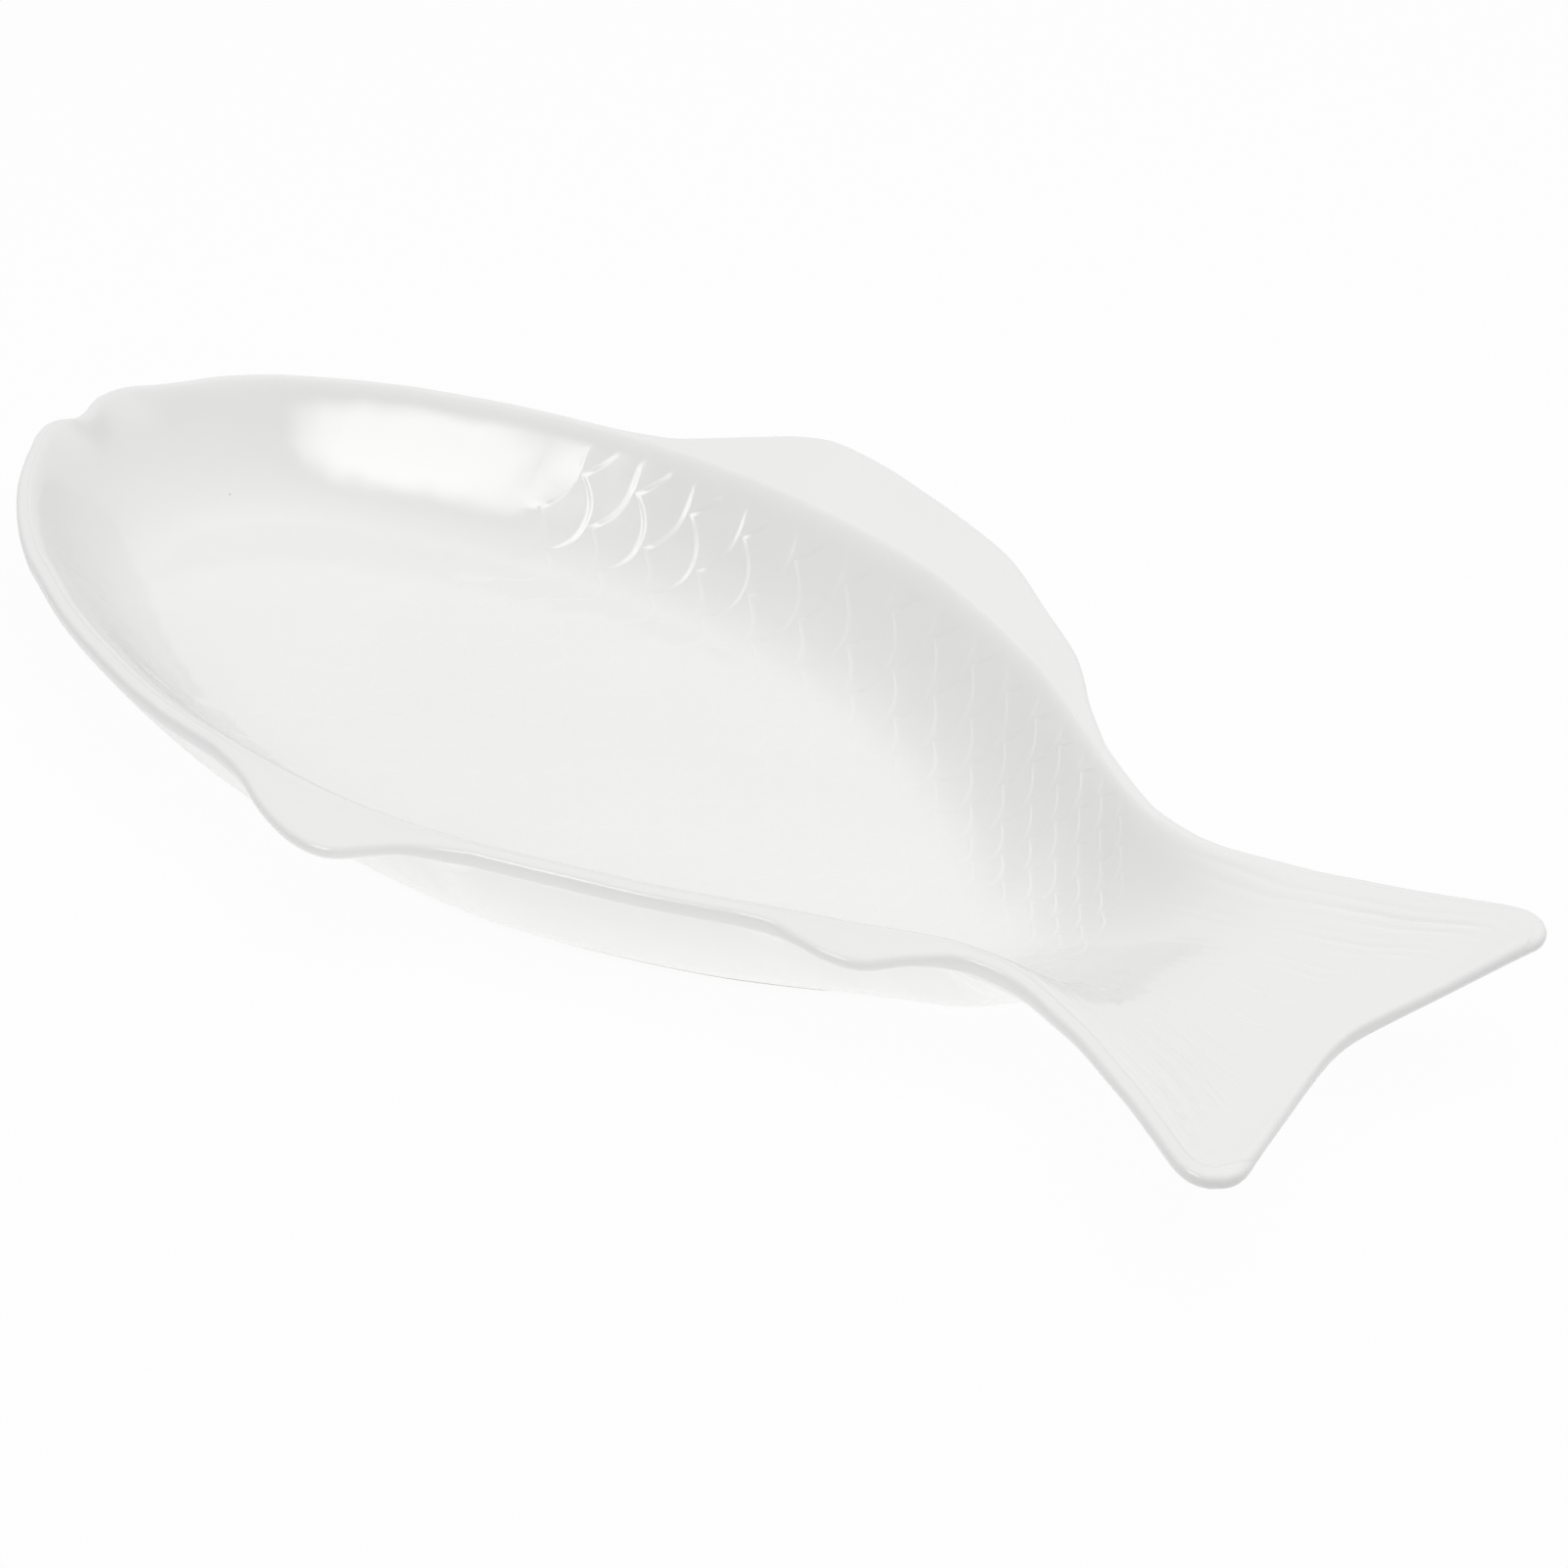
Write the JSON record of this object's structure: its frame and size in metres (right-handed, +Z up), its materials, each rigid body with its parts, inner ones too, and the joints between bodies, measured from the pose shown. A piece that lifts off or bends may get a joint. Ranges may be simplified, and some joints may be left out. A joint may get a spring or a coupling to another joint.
{
  "type": "fish shaped serving platter",
  "caption": "Shallow serving platter in the shape of a fish, with a rounded rim, level fins, a hollowed forked tail and a foot ring underneath.",
  "frame": {"origin": "middle of the bounding box, on the plane of the foot ring", "axes": "+X from the mouth to the tail, +Y towards the dorsal fin, +Z up from the table"},
  "size_m": [0.36, 0.1878, 0.03],
  "materials": {
    "glaze": "glossy white glaze"
  },
  "bodies": {
    "root": {"platter": "glaze"}
  },
  "joints": []
}
